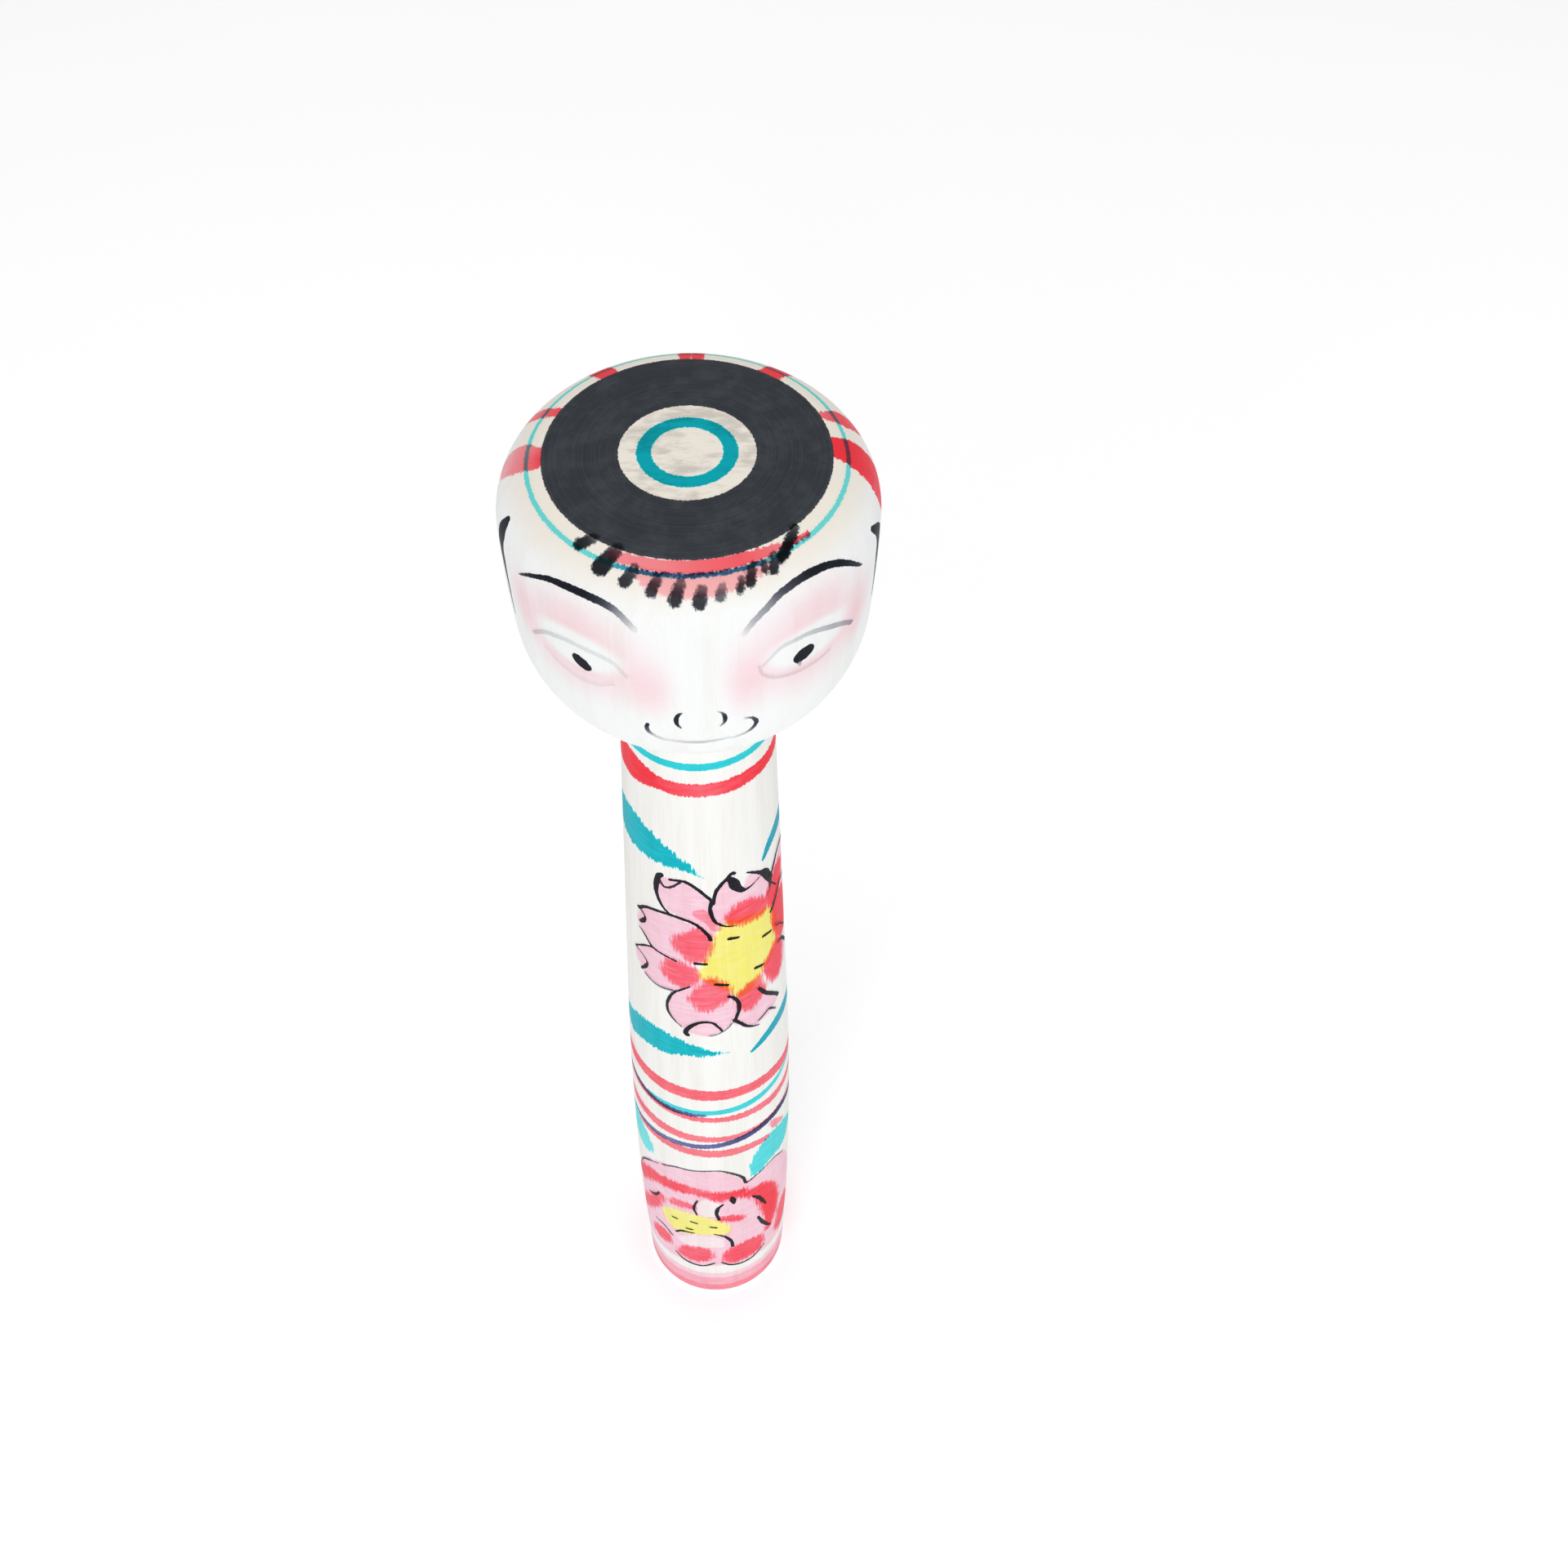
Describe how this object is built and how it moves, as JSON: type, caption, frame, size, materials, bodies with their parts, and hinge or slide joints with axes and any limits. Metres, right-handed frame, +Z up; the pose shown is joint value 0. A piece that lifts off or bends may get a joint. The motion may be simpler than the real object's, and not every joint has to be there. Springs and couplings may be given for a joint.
{
  "type": "turned wooden doll",
  "caption": "Turned wooden doll with a slim painted body and a wide flat-crowned head that turns on its tenon in the shoulder socket.",
  "frame": {"origin": "centre of the flat base", "axes": "+Z up the axis of revolution, from the base to the crown; the face looks along -Y and +X is to the right of someone facing it"},
  "size_m": [0.054, 0.054, 0.2424],
  "materials": {
    "body_wood": "fine turned pale wood, thinly waxed, with rings, leaves and flowers in red, pink, teal and yellow dye and black ink",
    "head_wood": "fine turned pale wood, thinly waxed, with a black and teal ringed crown, dyed blushes and a face in black ink"
  },
  "bodies": {
    "body": {"body": "body_wood"},
    "head": {"head": "head_wood"}
  },
  "joints": [
    {"name": "head_turn", "type": "hinge", "parent": "body", "child": "head", "pos_m": [0, 0, 0.1878], "axis": [0, 0, 1], "continuous": true}
  ]
}
